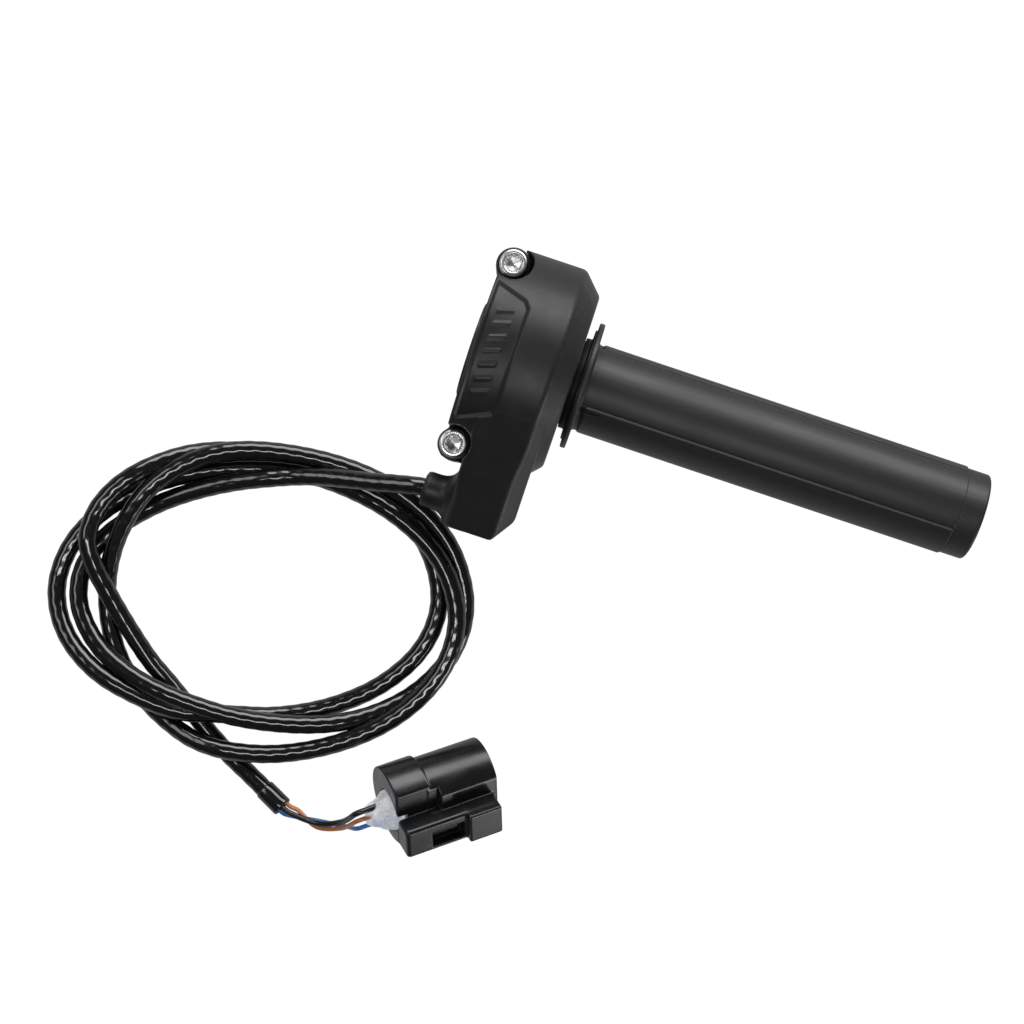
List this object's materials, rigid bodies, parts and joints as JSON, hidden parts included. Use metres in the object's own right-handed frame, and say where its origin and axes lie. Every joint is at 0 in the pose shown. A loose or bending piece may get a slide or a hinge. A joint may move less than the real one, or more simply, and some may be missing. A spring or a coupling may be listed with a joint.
{
  "type": "throttle grip",
  "caption": "Motorcycle twist throttle: a bare grip tube turning in a clamp-on hall sensor housing, with a coiled lead ending in a sealed plug.",
  "frame": {"origin": "the middle of the housing's flat back, 22 mm straight behind the handlebar axis and 15 mm outboard of the housing's inboard face", "axes": "+X outboard along the bar, +Y from the bar towards the upper clamp screw, +Z out of the label face and the clamp screw heads"},
  "size_m": [0.2603, 0.1859, 0.055],
  "materials": {
    "case_black": "satin moulded",
    "tube_charcoal": "satin moulded",
    "bush_natural": "natural self-lubricating plastic",
    "seal_rubber": "matte",
    "magnet_nickel": "nickel plated",
    "carrier_plastic": "glass filled, satin",
    "spring_steel": "drawn wire",
    "stainless": "polished stainless",
    "zinc_steel": "zinc plated",
    "board_green": "solder mask",
    "chip_black": "moulded epoxy",
    "cable_pvc": "glossy",
    "wire_black": "glossy",
    "wire_orange": "glossy",
    "wire_blue": "glossy",
    "hot_melt": "milky translucent",
    "plug_black": "glossy moulded",
    "terminal_tin": "tin plated"
  },
  "bodies": {
    "housing": {"front_case": "case_black", "rear_case": "case_black", "inner_bush": "bush_natural", "outer_bush": "bush_natural", "dust_seal": "seal_rubber", "return_spring": "spring_steel", "clamp_screw_upper": "stainless", "clamp_screw_lower": "stainless", "clamp_nut_upper": "zinc_steel", "clamp_nut_lower": "zinc_steel", "case_screw_drum": "zinc_steel", "case_screw_tail": "zinc_steel", "cable_clamp_screw_low": "zinc_steel", "cable_clamp_screw_high": "zinc_steel", "holder_screw": "zinc_steel", "sensor_holder": "carrier_plastic", "sensor_board": "board_green", "hall_sensor": "chip_black", "board_capacitor": "terminal_tin", "inner_lead_power": "wire_orange", "inner_lead_ground": "wire_black", "inner_lead_signal": "wire_blue", "cable_jacket": "cable_pvc", "end_sleeve": "cable_pvc", "cable_grommet": "seal_rubber", "cable_clamp": "carrier_plastic", "wire_black": "wire_black", "wire_orange": "wire_orange", "wire_blue": "wire_blue", "plug_housing": "plug_black", "plug_seal": "wire_orange", "terminal_lock": "bush_natural", "terminal_power": "terminal_tin", "terminal_ground": "terminal_tin", "terminal_signal": "terminal_tin", "hot_melt_plug": "hot_melt"},
    "twist": {"twist_tube": "tube_charcoal", "magnet_carrier": "carrier_plastic", "magnet_open_side": "magnet_nickel", "magnet_closed_side": "magnet_nickel"}
  },
  "joints": [
    {"name": "throttle_twist", "type": "hinge", "parent": "housing", "child": "twist", "pos_m": [-0.015, 0, 0.022], "axis": [1, 0, 0], "range_deg": [0, 75], "stiffness_Nm_per_rad": 0.12, "springref_deg": -20.05, "deforming": ["return_spring"]}
  ]
}
